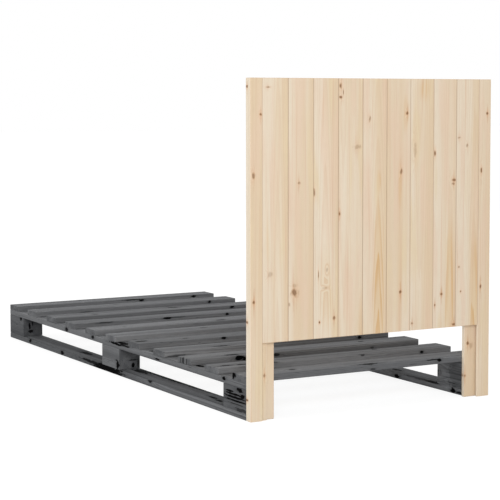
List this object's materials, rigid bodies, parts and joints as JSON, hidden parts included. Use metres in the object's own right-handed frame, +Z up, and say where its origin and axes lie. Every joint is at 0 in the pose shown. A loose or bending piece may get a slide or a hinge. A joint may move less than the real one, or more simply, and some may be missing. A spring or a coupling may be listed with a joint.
{
  "type": "single bed frame with headboard",
  "caption": "Single bed frame in pine: a low pallet-style base of stained runners, blocks, bearers and slats, with a natural headboard of half-lapped upright planks.",
  "frame": {"origin": "on the floor, in the middle of the bed's overall length and width", "axes": "+Z up, +Y along the bed from the foot to the headboard, +X to the right as seen from the foot"},
  "size_m": [0.9, 2.028, 1.04],
  "materials": {
    "stained_pine": "matt grey stain",
    "natural_pine": "planed, untreated",
    "zinc_steel": "zinc plated"
  },
  "bodies": {
    "root": {"bearer_left": "stained_pine", "bearer_right": "stained_pine", "block_nails": "zinc_steel", "bolt_inserts": "zinc_steel", "bottom_rail": "natural_pine", "edge_board_left": "natural_pine", "edge_board_right": "natural_pine", "foot_block_left": "stained_pine", "foot_block_right": "stained_pine", "head_block_left": "stained_pine", "head_block_right": "stained_pine", "headboard_bolts": "zinc_steel", "headboard_nails": "zinc_steel", "leg_board_left": "natural_pine", "leg_board_right": "natural_pine", "middle_block_left": "stained_pine", "middle_block_right": "stained_pine", "plank_1": "natural_pine", "plank_2": "natural_pine", "plank_3": "natural_pine", "plank_4": "natural_pine", "plank_5": "natural_pine", "plank_6": "natural_pine", "plank_7": "natural_pine", "plank_8": "natural_pine", "plank_9": "natural_pine", "runner_left": "stained_pine", "runner_right": "stained_pine", "slat_01": "stained_pine", "slat_02": "stained_pine", "slat_03": "stained_pine", "slat_04": "stained_pine", "slat_05": "stained_pine", "slat_06": "stained_pine", "slat_07": "stained_pine", "slat_08": "stained_pine", "slat_09": "stained_pine", "slat_10": "stained_pine", "slat_11": "stained_pine", "slat_nails": "zinc_steel", "top_rail": "natural_pine"}
  },
  "joints": []
}
